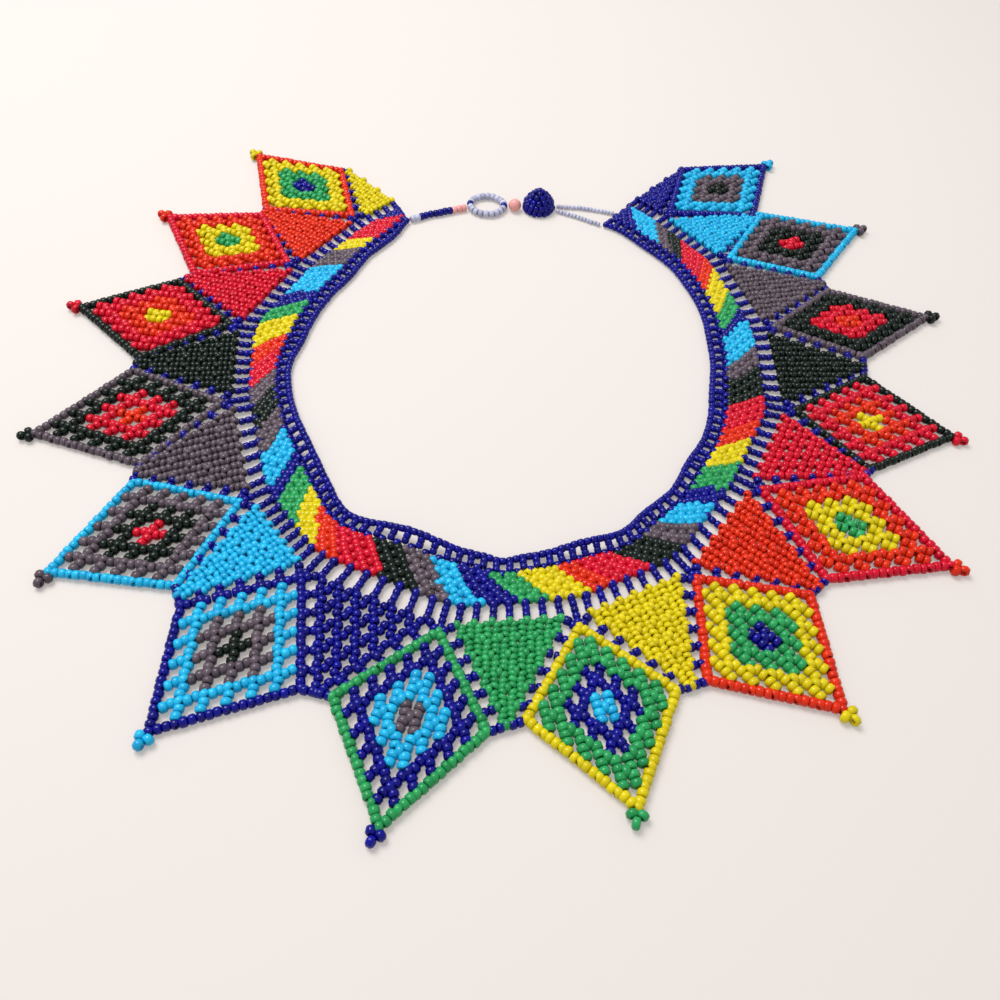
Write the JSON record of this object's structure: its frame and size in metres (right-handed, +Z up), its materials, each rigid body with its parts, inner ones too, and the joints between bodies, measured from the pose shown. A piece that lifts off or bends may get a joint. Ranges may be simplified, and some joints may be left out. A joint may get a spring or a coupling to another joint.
{
  "type": "beaded collar necklace",
  "caption": "Netted bead collar lying flat: a curved band of coloured blocks ringed by diamond points, closed at the back by a bead loop and a button.",
  "frame": {"origin": "middle of the footprint, on the surface that it lies on", "axes": "+Z up from the surface, +Y toward the closing at the back of the neck, +X toward the button's end"},
  "size_m": [0.2592, 0.2504, 0.0078],
  "materials": {
    "beads_yellow": "gloss",
    "beads_orange": "gloss",
    "beads_red": "gloss",
    "beads_black": "gloss",
    "beads_grey": "gloss",
    "beads_light_blue": "gloss",
    "beads_dark_blue": "gloss",
    "beads_green": "gloss",
    "beads_pale": "gloss",
    "beads_pink": "gloss",
    "thread": "matte"
  },
  "bodies": {
    "root": {"point_01": "beads_orange", "point_02": "beads_red", "point_03": "beads_black", "point_04": "beads_grey", "point_05": "beads_light_blue", "point_06": "beads_dark_blue", "point_07": "beads_green", "point_08": "beads_yellow", "point_09": "beads_orange", "point_10": "beads_red", "point_11": "beads_black", "point_12": "beads_grey", "point_13": "beads_light_blue", "point_14": "beads_dark_blue", "wedge_left_end": "beads_yellow", "wedge_01": "beads_orange", "wedge_02": "beads_red", "wedge_03": "beads_black", "wedge_04": "beads_grey", "wedge_05": "beads_light_blue", "wedge_06": "beads_dark_blue", "wedge_07": "beads_green", "wedge_08": "beads_yellow", "wedge_09": "beads_orange", "wedge_10": "beads_red", "wedge_11": "beads_black", "wedge_12": "beads_grey", "wedge_13": "beads_light_blue", "wedge_right_end": "beads_dark_blue", "neck_band": "beads_dark_blue", "neck_rim": "beads_dark_blue", "string_left": "beads_dark_blue", "clasp_loop": "beads_pale", "clasp_bead": "beads_pink", "clasp_button": "beads_dark_blue", "strand_front": "beads_pale", "strand_back": "beads_pale"}
  },
  "joints": []
}
